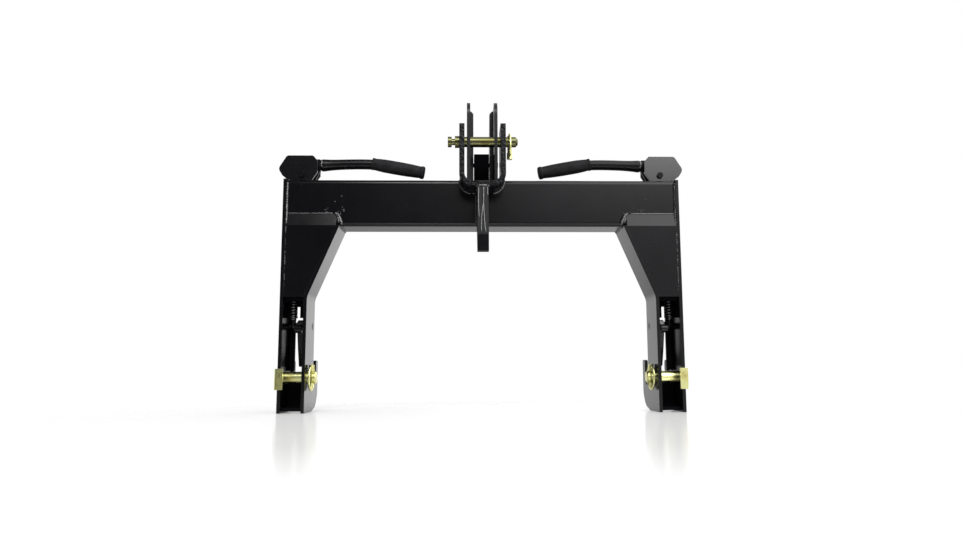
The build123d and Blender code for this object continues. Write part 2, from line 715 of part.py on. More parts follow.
# Spring tab, spring and the collar that the spring presses on
tab_top = TAB_Z + TAB_THICK
tab = block(INNER_OUT, OUTER_IN, TAB_FRONT, TAB_BACK, TAB_Z, tab_top)
tab += block(INNER_OUT, OUTER_IN, TAB_BACK - APRON_THICK, TAB_BACK, APRON_FOOT, tab_top)
tab += block(OUTER_IN - STRIP_WIDE, OUTER_IN, TAB_BACK, STRIP_BACK, TAB_Z, tab_top)
tab += block(OUTER_IN - STRIP_WIDE, OUTER_IN, STRIP_FRONT, STRIP_BACK, STRIP_FOOT, tab_top)
notch_x = INNER_OUT + NOTCH_OUT
tab -= block(
    notch_x - NOTCH_WIDE,
    notch_x,
    TAB_FRONT,
    TAB_BACK + 1,
    APRON_FOOT - 1,
    APRON_FOOT + NOTCH_TALL,
)
save_pair("spring_tab", tab - rod_z(ROD_LOW_X, ROD_Y, ROD_R + ROD_EYE_EASE, TAB_Z - 1, tab_top + 1))
collar_top = COLLAR_Z + COLLAR_TALL + 2
collar = rod_z(ROD_LOW_X, ROD_Y, COLLAR_HUB_R, COLLAR_Z, COLLAR_Z + COLLAR_TALL)
collar += rod_z(ROD_LOW_X, ROD_Y, COLLAR_FLANGE_R, COLLAR_Z + COLLAR_TALL, collar_top)
save_pair("spring_collar", collar - rod_z(ROD_LOW_X, ROD_Y, ROD_R, COLLAR_Z - 1, collar_top + 1))
spring = rod_z(ROD_LOW_X, ROD_Y, SPRING_OUT_R, collar_top, TAB_Z)
save_pair("return_spring", spring - rod_z(ROD_LOW_X, ROD_Y, SPRING_IN_R, collar_top, TAB_Z))

# Latch pawl over the hook mouth, on a pivot pin welded between the leg plates
pawl = across(
    face(
        (PAWL_Y - PAWL_HUB_R, PAWL_Z - 3),
        (PAWL_Y - 2, PAWL_Z + PAWL_HUB_R - 0.2),
        (PAWL_Y + PAWL_HUB_R, PAWL_Z),
        (PAWL_Y + 20, PAWL_Z - 44, 30),
        (NOSE_TIP_Y, NOSE_UNDER_Z + 8, 4),
        (NOSE_TIP_Y, NOSE_UNDER_Z, 3),
        (PAWL_Y + 12, NOSE_UNDER_Z, 4),
        (PAWL_Y, PAWL_Z - 44, 20),
    ),
    PAWL_IN,
    PAWL_OUT,
)
pawl += across(
    face(
        (ROD_Y, EYE_Z - PAWL_EYE_R + 0.2),
        (ROD_Y - 3, EYE_Z + PAWL_EYE_R - 1),
        (PAWL_Y - 4, PAWL_Z + PAWL_HUB_R - 1.5),
        (PAWL_Y + 2, PAWL_Z - PAWL_HUB_R),
    ),
    PAWL_IN,
    PAWL_OUT,
)
pawl += rod_x(PAWL_Y, PAWL_Z, PAWL_HUB_R, PAWL_IN, PAWL_OUT)
pawl += rod_x(ROD_Y, EYE_Z, PAWL_EYE_R, PAWL_IN, PAWL_OUT)
pawl -= rod_x(PAWL_Y, PAWL_Z, PAWL_PIN_R + FIT, PAWL_IN - 1, PAWL_OUT + 1)
pawl -= rod_x(ROD_Y, EYE_Z, ROD_R + PAWL_EYE_EASE, PAWL_IN - 1, PAWL_OUT + 1)
save_pair("latch_pawl", pawl)
save_pair("latch_pivot", rod_x(PAWL_Y, PAWL_Z, PAWL_PIN_R, INNER_IN, OUTER_OUT))
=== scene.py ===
"""Looks for the three point quick hitch: paint, zinc, rubber, welds, springs and the studio."""

import math
import random

import bmesh
import bpy
from mathutils import Matrix, Vector


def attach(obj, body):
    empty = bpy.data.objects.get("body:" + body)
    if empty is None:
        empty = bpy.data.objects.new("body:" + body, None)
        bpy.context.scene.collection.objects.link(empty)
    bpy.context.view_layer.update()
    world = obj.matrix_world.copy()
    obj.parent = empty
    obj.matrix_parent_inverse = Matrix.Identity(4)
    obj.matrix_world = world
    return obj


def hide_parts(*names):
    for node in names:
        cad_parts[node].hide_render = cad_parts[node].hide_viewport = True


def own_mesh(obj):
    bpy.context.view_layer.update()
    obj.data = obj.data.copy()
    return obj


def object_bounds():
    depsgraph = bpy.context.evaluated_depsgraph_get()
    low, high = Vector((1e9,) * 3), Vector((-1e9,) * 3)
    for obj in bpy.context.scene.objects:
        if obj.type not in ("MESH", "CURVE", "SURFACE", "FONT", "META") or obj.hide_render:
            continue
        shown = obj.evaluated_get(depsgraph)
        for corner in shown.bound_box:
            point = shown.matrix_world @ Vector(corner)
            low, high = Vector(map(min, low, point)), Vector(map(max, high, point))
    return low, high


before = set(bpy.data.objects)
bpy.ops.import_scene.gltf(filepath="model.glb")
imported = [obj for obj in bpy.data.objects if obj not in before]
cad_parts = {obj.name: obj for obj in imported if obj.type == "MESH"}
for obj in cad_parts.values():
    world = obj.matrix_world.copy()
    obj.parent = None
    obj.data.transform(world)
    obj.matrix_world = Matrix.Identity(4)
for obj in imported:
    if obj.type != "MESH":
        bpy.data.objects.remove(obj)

cad_box = [[float(v) for v in corner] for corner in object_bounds()]
SEED = 11
rng = random.Random(SEED)
scene = bpy.context.scene

# Places below are in millimetres, with Y measured from the legs' front edges as in the
# part's source. The frame is in metres, with Y = 0 in the middle of the part.
MM = 0.001
Y_SHIFT = -29.0


def at(x, y, z):
    """A place given in millimetres, as a point of the frame."""
    return Vector((x * MM, (y + Y_SHIFT) * MM, z * MM))


# Camera, fitted to the legs and the beam in the photograph

LENS = 28.276
SENSOR = 36.0
CAMERA_AT = (-32.7, -1372.9, 78.05)
PITCH_DEG = 7.462
YAW_DEG = 1.272
ROLL_DEG = -0.146

camera_data = bpy.data.cameras.new("camera")
camera_data.lens = LENS
camera_data.sensor_width = SENSOR
camera_data.clip_start = 0.05
camera_data.clip_end = 60
camera = bpy.data.objects.new("camera", camera_data)
camera.matrix_world = (
    Matrix.Translation(at(*CAMERA_AT))
    @ Matrix.Rotation(math.radians(-YAW_DEG), 4, "Z")
    @ Matrix.Rotation(math.radians(90 + PITCH_DEG), 4, "X")
    @ Matrix.Rotation(math.radians(ROLL_DEG), 4, "Z")
)
scene.collection.objects.link(camera)
scene.camera = camera
scene.view_settings.view_transform = "Standard"


# Materials: noise scales are in waves per metre, bump heights and edge radii in millimetres

BEVEL_SAMPLES = 4
# How the gloss falls off towards a round piece's outline
RIM = {"From Min": 0.4, "From Max": 0.85, "To Min": 0.5, "To Max": 0.02}
PAINT_TONES = [(0.3, (0.0032, 0.0033, 0.0042)), (0.7, (0.0056, 0.0057, 0.007))]
PAINT_EDGE = 0.9
PAINT_GLOSS = (0.15, 0.22)
SATIN_GLOSS = (0.26, 0.36)
ZINC_TONES = [
    (0.25, (0.46, 0.37, 0.12)),
    (0.42, (0.64, 0.61, 0.25)),
    (0.6, (0.7, 0.71, 0.34)),
    (0.8, (0.64, 0.54, 0.24)),
]
ZINC_EDGE = 0.6
ZINC_GLOSS = (0.2, 0.38)
RUBBER_TONES = [(0.3, (0.012, 0.012, 0.013)), (0.7, (0.024, 0.024, 0.026))]
RUBBER_GLOSS = (0.48, 0.62)
RUBBER_IOR = 1.17
STEEL_TONES = [(0.3, (0.05, 0.05, 0.055)), (0.7, (0.11, 0.11, 0.115))]
STEEL_EDGE = 0.3
STEEL_GLOSS = (0.3, 0.45)


class Nodes:
    """Short names for building one material's nodes."""

    def __init__(self, name):
        self.material = bpy.data.materials.new(name)
        self.material.use_nodes = True
        self.tree = self.material.node_tree
        self.shader = self.tree.nodes["Principled BSDF"]
        self.coords = self.add("ShaderNodeTexCoord").outputs["Object"]

    def add(self, kind, **values):
        """A new node with the given properties."""
        node = self.tree.nodes.new(kind)
        for key, value in values.items():
            setattr(node, key, value)
        return node

    def link(self, source, target):
        """Joins two sockets."""
        self.tree.links.new(source, target)

    def noise(self, scale, detail, rough=0.55):
        """Noise over the piece, from 0 to 1."""
        noise = self.add("ShaderNodeTexNoise")
        noise.inputs["Scale"].default_value = scale
        noise.inputs["Detail"].default_value = detail
        noise.inputs["Roughness"].default_value = rough
        self.link(self.coords, noise.inputs["Vector"])
        return noise.outputs["Fac"]

    def tint(self, source, stops):
        """Colours the piece by source, through (place, colour) stops."""
        ramp = self.add("ShaderNodeValToRGB")
        elements = ramp.color_ramp.elements
        while len(elements) < len(stops):
            elements.new(0.5)
        for element, (place, colour) in zip(elements, stops):
            element.position = place
            element.color = (*colour, 1)
        self.link(source, ramp.inputs["Fac"])
        self.link(ramp.outputs["Color"], self.shader.inputs["Base Color"])

    def gloss(self, source, low, high):
        """Lets the roughness drift between low and high with source."""
        node = self.add("ShaderNodeMapRange")
        node.inputs["To Min"].default_value = low
        node.inputs["To Max"].default_value = high
        self.link(source, node.inputs["Value"])
        self.link(node.outputs["Result"], self.shader.inputs["Roughness"])

    def dark_rim(self):
        """Takes the gloss off where a face turns away, so that round pieces get a dark outline."""
        weight = self.add("ShaderNodeLayerWeight")
        fade = self.add("ShaderNodeMapRange", interpolation_type="SMOOTHSTEP")
        for socket, value in RIM.items():
            fade.inputs[socket].default_value = value
        self.link(weight.outputs["Facing"], fade.inputs["Value"])
        self.link(fade.outputs["Result"], self.shader.inputs["Specular IOR Level"])

    def bump(self, layers, edge=0.0):
        """Stacks (noise, height) layers and rounds sharp edges by the radius edge."""
        normal = None
        if edge:
            bevel = self.add("ShaderNodeBevel", samples=BEVEL_SAMPLES)
            bevel.inputs["Radius"].default_value = edge * MM
            normal = bevel.outputs["Normal"]
        for noise, height in layers:
            node = self.add("ShaderNodeBump")
            node.inputs["Distance"].default_value = height * MM
            self.link(noise, node.inputs["Height"])
            if normal is not None:
                self.link(normal, node.inputs["Normal"])
            normal = node.outputs["Normal"]
        self.link(normal, self.shader.inputs["Normal"])


def paint(name, ior, peel, grit, gloss=PAINT_GLOSS, edge=PAINT_EDGE, rim=False):
    """Black paint with orange peel, fine dust and slightly uneven gloss."""
    nodes = Nodes(name)
    nodes.tint(nodes.noise(9, detail=5, rough=0.6), PAINT_TONES)
    nodes.gloss(nodes.noise(26, detail=3), *gloss)
    nodes.shader.inputs["IOR"].default_value = ior
    if rim:
        nodes.dark_rim()
    nodes.bump([(nodes.noise(190, detail=2), peel), (nodes.noise(620, detail=2), grit)], edge)
    return nodes.material


def zinc(name, level):
    """Yellow zinc plate: warm metal with green and rose drifts in its colour."""
    nodes = Nodes(name)
    toned = [(place, tuple(level * v for v in colour)) for place, colour in ZINC_TONES]
    nodes.tint(nodes.noise(38, detail=4, rough=0.6), toned)
    nodes.gloss(nodes.noise(90, detail=3), *ZINC_GLOSS)
    nodes.shader.inputs["Metallic"].default_value = 1.0
    nodes.bump([(nodes.noise(300, detail=2), 0.03)], ZINC_EDGE)
    return nodes.material


def rubber(name):
    """Matt black rubber with a fine grain."""
    nodes = Nodes(name)
    nodes.tint(nodes.noise(60, detail=4), RUBBER_TONES)
    nodes.gloss(nodes.noise(140, detail=3), *RUBBER_GLOSS)
    nodes.shader.inputs["IOR"].default_value = RUBBER_IOR
    nodes.dark_rim()
    nodes.bump([(nodes.noise(900, detail=2), 0.04)])
    return nodes.material


def steel(name):
    """Oiled, dark spring steel."""
    nodes = Nodes(name)
    nodes.tint(nodes.noise(80, detail=4), STEEL_TONES)
    nodes.gloss(nodes.noise(160, detail=3), *STEEL_GLOSS)
    nodes.shader.inputs["Metallic"].default_value = 1.0
    nodes.bump([(nodes.noise(500, detail=2), 0.02)], STEEL_EDGE)
    return nodes.material


BLACK = paint("black_paint", ior=1.3, peel=0.02, grit=0.004)
SATIN = paint("satin_paint", ior=1.2, peel=0.03, grit=0.006, gloss=SATIN_GLOSS, rim=True)
BRIGHT = paint("bright_paint", ior=1.55, peel=0.015, grit=0.003)
LEVER = paint("lever_paint", ior=1.25, peel=0.02, grit=0.004, gloss=(0.24, 0.32), rim=True)
CHANNEL = paint("channel_paint", ior=1.3, peel=0.02, grit=0.004, rim=True)
MAST = paint("mast_paint", ior=1.3, peel=0.03, grit=0.006, gloss=(0.24, 0.34))
# Painted shade: a copy of the black paint with almost no reflection and a rougher gloss, for the
# parts deep in the legs' shade
SHADE_PAINT = paint("shaded_paint", ior=1.06, peel=0.03, grit=0.006, gloss=(0.4, 0.5))
FORGED = paint("forged_paint", ior=1.24, peel=1.4, grit=0.12, gloss=(0.12, 0.3), edge=2.0)
GUSSET = paint("gusset_paint", ior=1.16, peel=0.2, grit=0.03, gloss=SATIN_GLOSS, rim=True)
WELD = paint("welded_paint", ior=1.75, peel=0.3, grit=0.05, gloss=(0.12, 0.22), edge=0.0)
ZINC = zinc("yellow_zinc", level=0.88)
# Painted shade: the same yellow zinc at a small part of its brightness, for the top link pin,
# which sits in shade between the clevis arms and the mast plates
SHADED_ZINC = zinc("shaded_zinc", level=0.15)
RUBBER = rubber("grip_rubber")
STEEL = steel("dark_steel")

# A CAD node gets the material of the first row that has a word of its name.
DRESS = (
    # Painted shade on the top link pin, which sits in the clevis' shadow
    (("top_link_pin",), SHADED_ZINC),
    (("linch", "link_pin"), ZINC),
    (("grip",), RUBBER),
    (("spring_collar",), STEEL),
    (("lever_box",), BRIGHT),
    (("lever_bolt", "lever_nut"), SATIN),
    (("clevis_gusset",), GUSSET),
    (("top_link_clevis",), FORGED),
    # Painted shade on the pieces deep inside the legs
    (("spring_tab", "hook_web", "guide"), SHADE_PAINT),
    (("mast",), MAST),
    (("outer_plate", "latch"), CHANNEL),
    (("lever",), LEVER),
)


def material_for(name):
    """The material of the CAD node with this name."""
    for words, material in DRESS:
        if any(word in name for word in words):
            return material
    return BLACK


def dress(obj, material):
    """Gives every face of a piece one material."""
    obj.data.materials.clear()
    obj.data.materials.append(material)


for name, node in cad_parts.items():
    dress(node, material_for(name))


# Mesh pieces

# A line's last point is left out where it is closer than this part of a step
SHORTEST_STEP = 0.3


def add_mesh(name, verts, faces, material):
    """Makes one smooth mesh piece from points in metres."""
    mesh = bpy.data.meshes.new(name)
    mesh.from_pydata([tuple(v) for v in verts], [], faces)
    mesh.validate()
    mesh.update()
    for polygon in mesh.polygons:
        polygon.use_smooth = True
    obj = bpy.data.objects.new(name, mesh)
    scene.collection.objects.link(obj)
    dress(obj, material)
    return obj


def resample(points, step):
    """Evenly spaced points along a polyline."""
    spots = [points[0]]
    carry = 0.0
    for a, b in zip(points, points[1:]):
        length = (b - a).length
        place = step - carry
        while place <= length:
            spots.append(a.lerp(b, place / length))
            place += step
        carry = length - (place - step)
    if (spots[-1] - points[-1]).length > step * SHORTEST_STEP:
        spots.append(points[-1])
    return spots


def ring_faces(rings, sides, first=0, flip=False):
    """Faces that join rings of sides points, from point first on, into one closed skin."""
    faces = []
    for i in range(rings - 1):
        for k in range(sides):
            a = first + i * sides + k
            b = first + i * sides + (k + 1) % sides
            if flip:
                faces.append((a, a + sides, b + sides, b))
            else:
                faces.append((a, b, b + sides, a + sides))
    last = first + (rings - 1) * sides
    start = tuple(range(first, first + sides))
    end = tuple(range(last, last + sides))
    if flip:
        faces += [start, end[::-1]]
    else:
        faces += [start[::-1], end]
    return faces


def tube(points, radius_at, sides):
    """Vertices and faces of a closed round tube along points; radius_at takes the index."""
    verts = []
    side = None
    last = len(points) - 1
    for i, point in enumerate(points):
        run = (points[min(i + 1, last)] - points[max(i - 1, 0)]).normalized()
        if side is None:
            side = run.orthogonal().normalized()
        side = (side - run * side.dot(run)).normalized()
        up = run.cross(side)
        reach = radius_at(i)
        for k in range(sides):
            turn = 2 * math.pi * k / sides
            verts.append(point + side * math.cos(turn) * reach + up * math.sin(turn) * reach)
    return verts, ring_faces(len(points), sides)


def mirrored(corners, sign):
    """The corners for the right (+1) or left (-1) side."""
    return [(x * sign, y, z) for x, y, z in corners]


SIDES = (("right", 1), ("left", -1))


# Weld beads

BEAD_STEP = 0.75 * MM
BEAD_SIDES = 10
# How far each step pushes a bead off its line, and how much of the last offset stays
STRAY = 0.12
STRAY_KEPT = 0.8
# Ripples: one bead's height goes from LOW to LOW + RISE of its radius, once per RIPPLE_LONG
RIPPLE_LONG = 3.1 * MM
RIPPLE_LOW = 0.84
RIPPLE_RISE = 0.2
# Slow swelling: a new size every SWELL_POINTS points
SWELL_LEAST = 0.88
SWELL_MOST = 1.12
SWELL_POINTS = 6
# A bead's ends start at this part of its radius, and grow by so much a point
END_SIZE = 0.35
END_GROWTH = 0.22


def bead(name, body, corners, radius, skin=WELD):
    """A rippled weld bead along corners given in millimetres."""
    points = resample([at(*c) for c in corners], BEAD_STEP)
    shaken = []
    drift = Vector((0, 0, 0))
    for point in points:
        push = Vector([rng.uniform(-1, 1) for _ in range(3)])
        drift = drift * STRAY_KEPT + push * STRAY * MM
        shaken.append(point + drift)
    phase = rng.uniform(0, math.pi)
    spans = len(points) // SWELL_POINTS + 2
    swell = [rng.uniform(SWELL_LEAST, SWELL_MOST) for _ in range(spans)]

    def reach(i):
        ripple = abs(math.sin(phase + math.pi * i * BEAD_STEP / RIPPLE_LONG))
        span = i // SWELL_POINTS
        blend = (i % SWELL_POINTS) / SWELL_POINTS
        size = swell[span] * (1 - blend) + swell[span + 1] * blend
        end = min(1.0, END_SIZE + END_GROWTH * min(i, len(points) - 1 - i))
        return radius * MM * (RIPPLE_LOW + RIPPLE_RISE * ripple) * size * end

    verts, faces = tube(shaken, reach, BEAD_SIDES)
    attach(add_mesh(name, verts, faces, skin), body)


BEAM_FACE_Y = 5.8
# Each weld is its line's corners and its radius; these are made on both sides.
SIDE_WELDS = {
    "plate_face": ([(361.5, 6, 345), (361.5, 6, 424)], 3.2),
    "plate_top": ([(361.5, 14, 429), (361.5, 70, 429)], 2.6),
    "cover_top": ([(276, 5.9, 364.5), (361, 5.9, 364.5)], 1.5),
    "cover_corner": ([(273, 6.2, 365), (266.5, 5.8, 361), (262, 5.8, 352), (259, 6, 343)], 3.9),
    "cover_notch": ([(268, 5.5, 358), (264, 4.2, 347)], 3.2),
    "cover_edge": ([(361, 1.4, 216), (361, 1.4, 340)], 1.5),
    "cover_slope": ([(361, 2.2, 343), (360.5, 5.4, 362)], 2.4),
    "cover_knee": ([(325, 2, 211), (325, 2, 214)], 1.5),
    "lean_top": ([(262.5, 10, 341), (262.5, 72, 341)], 2.4),
    "lean_back": ([(269, 76, 340.5), (361, 76, 340.5)], 2.2),
    "lean_face": ([(263, 6, 341), (268.6, 6, 341)], 2.2),
    "web_inner": ([(324.5, 60, 12), (324.5, 60, 45)], 1.8),
    "web_outer": ([(361.5, 60, 12), (361.5, 60, 45)], 1.8),
    "box_front": ([(322, 18, 429), (360, 18, 429)], 1.7),
    "box_rear": ([(322, 53, 429), (360, 53, 429)], 1.7),
    "mast_foot": ([(28.5, -38, 416), (28.5, 4, 416)], 2.2),
    "mast_top": ([(28.3, 17, 429.2), (28.3, 66, 429.2)], 2.4),
    "mast_back": ([(28.3, 76.3, 408), (28.3, 76.3, 420)], 2.4),
    "clevis_side": ([(42.3, 6, 424), (42.3, 6, 428)], 2.0),
    "gusset_side": ([(10.2, 5.6, 346), (10.2, 5.6, 400)], 2.6),
    "gusset_top": ([(10.2, 4, 402.6), (10.2, -56, 402.6)], 2.6),
    "tab_inner": ([(324.5, 15, 203), (324.5, 43, 203)], 1.4),
    "tab_outer": ([(361.5, 15, 203), (361.5, 43, 203)], 1.4),
}
# The welds inside the legs, which get the same painted-shade paint as their surroundings
SHADED_WELDS = ("web", "tab")
MIDDLE_WELDS = {
    "clevis_floor": ([(-19, BEAM_FACE_Y, 403), (-11, BEAM_FACE_Y, 403)], 2.4),
    "gusset_root": ([(-9, -57.2, 402.5), (9, -57.2, 402.5)], 2.8),
    "gusset_front_long": (
        [(1.8, -57.6, 401), (0.8, -66.5, 369.5), (2.2, -76, 336), (4.2, -81.6, 314)],
        1.5,
    ),
    "gusset_front_short": ([(0.2, -67, 368), (-2.6, -74, 343), (-3.4, -81.6, 314)], 1.4),
}
EDGE_WELDS = {
    "gusset_front_edge": ([(-7.4, -57.4, 401), (-8.2, -65.6, 372), (-7.2, -74.4, 341)], 1.5),
    "gusset_front_far": ([(8.4, -57.4, 401), (8.8, -62.4, 383)], 1.3),
}
# The clevis bend's weld is a quarter circle round this X and Z.
BEND_X = 19
BEND_Z = 426
BEND_R = 23
BEND_STEPS = 8
BEND_WELD_R = 2.4


def clevis_bend():
    """Corners of the weld along the clevis' right bend, on the beam's face."""
    corners = []
    for step in range(BEND_STEPS + 1):
        turn = math.radians(90 * step / BEND_STEPS)
        x = BEND_X + BEND_R * math.sin(turn)
        z = BEND_Z - BEND_R * math.cos(turn)
        corners.append((x, BEAM_FACE_Y, z))
    return corners


for side, sign in SIDES:
    for name, (corners, radius) in SIDE_WELDS.items():
        skin = SHADE_PAINT if name.startswith(SHADED_WELDS) else WELD
        bead(f"{side}_weld_{name}", "frame", mirrored(corners, sign), radius, skin)
    bend_corners = mirrored(clevis_bend(), sign)
    bead(f"{side}_weld_clevis_bend", "frame", bend_corners, BEND_WELD_R)

for name, (corners, radius) in MIDDLE_WELDS.items():
    bead(f"weld_{name}", "frame", corners, radius)


# Weld spatter on the beam's face

DROP_RINGS = 4
DROP_SIDES = 7
DROP_LEAST = 0.45
# Each drop's poles are cut off by this part of a ring.
DROP_POLE = 0.02
# Piece, (X, Z) spots, drops at each spot, their spread, the largest drop's radius
SPATTER = (
    ("left_spatter_near", [(-264, 366), (-259, 371), (-289, 369)], 7, 3.4, 1.8),
    ("left_spatter_far", [(-262, 397.5), (-272.5, 386)], 3, 1.5, 1.7),
    ("right_spatter_near", [(266, 364), (281, 369), (294, 370)], 7, 3.4, 1.8),
    ("right_spatter_far", [(294, 399), (309, 392)], 3, 1.5, 1.7),
)


def drop(middle, radius):
    """Vertices of one small ball of weld metal."""
    verts = []
    for i in range(DROP_RINGS + 1):
        tilt = math.pi * (i + DROP_POLE) / (DROP_RINGS + 2 * DROP_POLE)
        flat = math.sin(tilt) * radius
        out = math.cos(tilt) * radius
        for k in range(DROP_SIDES):
            turn = 2 * math.pi * k / DROP_SIDES
            verts.append(middle + Vector((math.cos(turn) * flat, out, math.sin(turn) * flat)))
    return verts


def spatter(name, spots, count, spread, size):
    """Drops of weld metal stuck to the beam's face round the given spots."""
    verts = []
    faces = []
    for x, z in spots:
        for _ in range(count):
            radius = size * rng.uniform(DROP_LEAST, 1.0) * MM
            middle = at(rng.gauss(x, spread), BEAM_FACE_Y, rng.gauss(z, spread))
            faces += ring_faces(DROP_RINGS + 1, DROP_SIDES, len(verts), flip=True)
            verts += drop(middle, radius)
    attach(add_mesh(name, verts, faces, WELD), "frame")


for row in SPATTER:
    spatter(*row)

for name, (corners, radius) in EDGE_WELDS.items():
    bead(f"weld_{name}", "frame", corners, radius)


# Coil springs round the latch rods

SPRING_X = 348.5
SPRING_Y = 28.5
SPRING_FOOT = 174.15
SPRING_HEAD = 203.0
COIL_R = 6.2
WIRE_R = 1.2
WIRE_SIDES = 10
COIL_TURNS = 6.5
COIL_STEPS = 26
# The part of the wire at each end that lies nearly flat, and how fast it rises there
CLOSED_PART = 0.12
CLOSED_RISE = 1.56


def coil(sign):
    """The spring wire's middle line, with its ends closed."""
    low = SPRING_FOOT + WIRE_R
    high = SPRING_HEAD - WIRE_R
    steps = int(COIL_TURNS * COIL_STEPS)
    points = []
    for i in range(steps + 1):
        part = i / steps
        rise = min(max((part - CLOSED_PART) / (1 - 2 * CLOSED_PART), 0), 1)
        height = min(low + rise * (high - low) + (part - rise) * CLOSED_RISE, high)
        turn = 2 * math.pi * COIL_TURNS * part
        x = sign * SPRING_X + COIL_R * math.cos(turn)
        y = SPRING_Y + COIL_R * math.sin(turn)
        points.append(at(x, y, height))
    return points


for side, sign in SIDES:
    verts, faces = tube(coil(sign), lambda i: WIRE_R * MM, WIRE_SIDES)
    spring = add_mesh(f"{side}_coil_spring", verts, faces, STEEL)
    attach(spring, "frame")
    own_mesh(spring)
    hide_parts(f"{side}_return_spring")


# Lever tubes and their rubber grips

# The right tube's middle line: its Y, and X and Z at its weld, its bend and its end
TUBE_Y = 37.0
TUBE_ROOT = (306.0, 463.5)
TUBE_BEND = (213.0, 468.0)
TUBE_END = (112.0, 450.0)
# The bend is rounded over these parts of the runs before and after it.
ROUND_BEFORE = 0.75
ROUND_AFTER = 0.24
ROUND_STEPS = 24
TUBE_STEP = 2.0 * MM
TUBE_SIDES = 40
TUBE_SKIN_R = 9.6
# How much the weld flares the tube, and over what lengths the flare rises and fades
TUBE_FLARE = 3.2
FLARE_RISE = 2.5
FLARE_LONG = 14.0
TUBE_WELD = [(303, TUBE_Y - 7, 471), (304, TUBE_Y - 9, 464), (303, TUBE_Y - 7, 457)]
TUBE_WELD_R = 3.6

GRIP_LONG = 98.0
GRIP_SIDES = 72
SCALLOPS = 18
# (distance from the inner end, radius, depth of the finger scallops)
GRIP_PROFILE = (
    (0.0, 9.6, 0.0),
    (0.0, 11.2, 0.0),
    (0.7, 11.7, 0.0),
    (3.2, 11.7, 0.0),
    (4.2, 11.2, 0.0),
    (6.0, 11.1, 0.05),
    (14.0, 11.8, 0.12),
    (24.0, 12.5, 0.2),
    (36.0, 12.7, 0.24),
    (56.0, 12.7, 0.24),
    (72.0, 12.4, 0.22),
    (84.0, 11.8, 0.18),
    (91.0, 11.4, 0.1),
    (93.0, 11.2, 0.0),
    (94.0, 11.8, 0.0),
    (94.8, 12.2, 0.0),
    (98.0, 12.3, 0.0),
    (99.8, 11.9, 0.0),
    (101.0, 10.4, 0.0),
    (101.0, 7.0, 0.0),
    (100.0, 5.8, 0.0),
    (100.0, 0.4, 0.0),
)


def on_tube(sign, place):
    """A point of one lever's plane, from its (X, Z) on the right side."""
    x, z = place
    return at(sign * x, TUBE_Y, z)


def bent(root, bend, end):
    """The lever tube's middle line, from its plate through the bend and into the grip."""
    inner = bend + (end - bend) * ROUND_AFTER
    outer = bend + (root - bend) * ROUND_BEFORE
    path = [root]
    for step in range(ROUND_STEPS + 1):
        t = step / ROUND_STEPS
        path.append(outer * (1 - t) ** 2 + bend * 2 * t * (1 - t) + inner * t * t)
    return resample(path, TUBE_STEP)


def tube_reach(i):
    """The lever tube's radius: its weld flares it at the plate."""
    along = i * TUBE_STEP / MM
    flare = (1 - math.exp(-along / FLARE_RISE)) * math.exp(-along / FLARE_LONG)
    return (TUBE_SKIN_R + TUBE_FLARE * flare) * MM


def lathe_grip(start, run):
    """Vertices and faces of a scalloped grip from start along run."""
    side = Vector((0, 1, 0))
    up = run.cross(side)
    verts = []
    for along, radius, dent in GRIP_PROFILE:
        middle = start + run * along * MM
        for k in range(GRIP_SIDES):
            turn = 2 * math.pi * k / GRIP_SIDES
            reach = radius - dent * (1 - abs(math.cos(turn * SCALLOPS / 2)))
            verts.append(middle + (side * math.cos(turn) + up * math.sin(turn)) * reach * MM)
    return verts, ring_faces(len(GRIP_PROFILE), GRIP_SIDES)


for side, sign in SIDES:
    root = on_tube(sign, TUBE_ROOT)
    bend = on_tube(sign, TUBE_BEND)
    end = on_tube(sign, TUBE_END)
    verts, faces = tube(bent(root, bend, end), tube_reach, TUBE_SIDES)
    skin = add_mesh(f"{side}_bent_tube", verts, faces, LEVER)
    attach(skin, f"{side}_lever")
    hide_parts(f"{side}_lever_tube")
    run = (end - bend).normalized()
    verts, faces = lathe_grip(end - run * GRIP_LONG * MM, run)
    grip = add_mesh(f"{side}_hand_grip", verts, faces, RUBBER)
    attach(grip, f"{side}_lever")
    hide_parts(f"{side}_lever_grip")
    corners = mirrored(TUBE_WELD, sign)
    bead(f"{side}_weld_lever_tube", f"{side}_lever", corners, TUBE_WELD_R)


# Floor: pale, with a soft sheen in front of the part, fading out all round

FLOOR_R = 6.0
FLOOR_SIDES = 96
FLOOR_Y = -0.35
FLOOR_GAP = 0.0002
FLOOR_COLOUR = (0.95, 0.95, 0.95, 1)
FLOOR_ROUGH = 0.9
FLOOR_GLOW = 0.3
FLOOR_SHEEN = 0.37
FLOOR_BLUR = 0.16
# Measured from the floor's middle: Y where the sheen is gone and where it is full, and the
# distances between which the floor fades out
SHEEN_END = -0.75
SHEEN_START = -0.2
FADE_FROM = 0.5
FADE_TO = 0.85

floor_mesh = bpy.data.meshes.new("floor")
plate = bmesh.new()
bmesh.ops.create_circle(plate, cap_ends=True, segments=FLOOR_SIDES, radius=FLOOR_R)
plate.to_mesh(floor_mesh)
plate.free()
floor = bpy.data.objects.new("floor", floor_mesh)
floor.location = (0, FLOOR_Y, cad_box[0][2] - FLOOR_GAP)
scene.collection.objects.link(floor)

ground = Nodes("pale_floor")
ground.shader.inputs["Base Color"].default_value = FLOOR_COLOUR
ground.shader.inputs["Roughness"].default_value = FLOOR_ROUGH
ground.shader.inputs["Specular IOR Level"].default_value = 0.0
ground.shader.inputs["Emission Color"].default_value = (1, 1, 1, 1)
ground.shader.inputs["Emission Strength"].default_value = FLOOR_GLOW

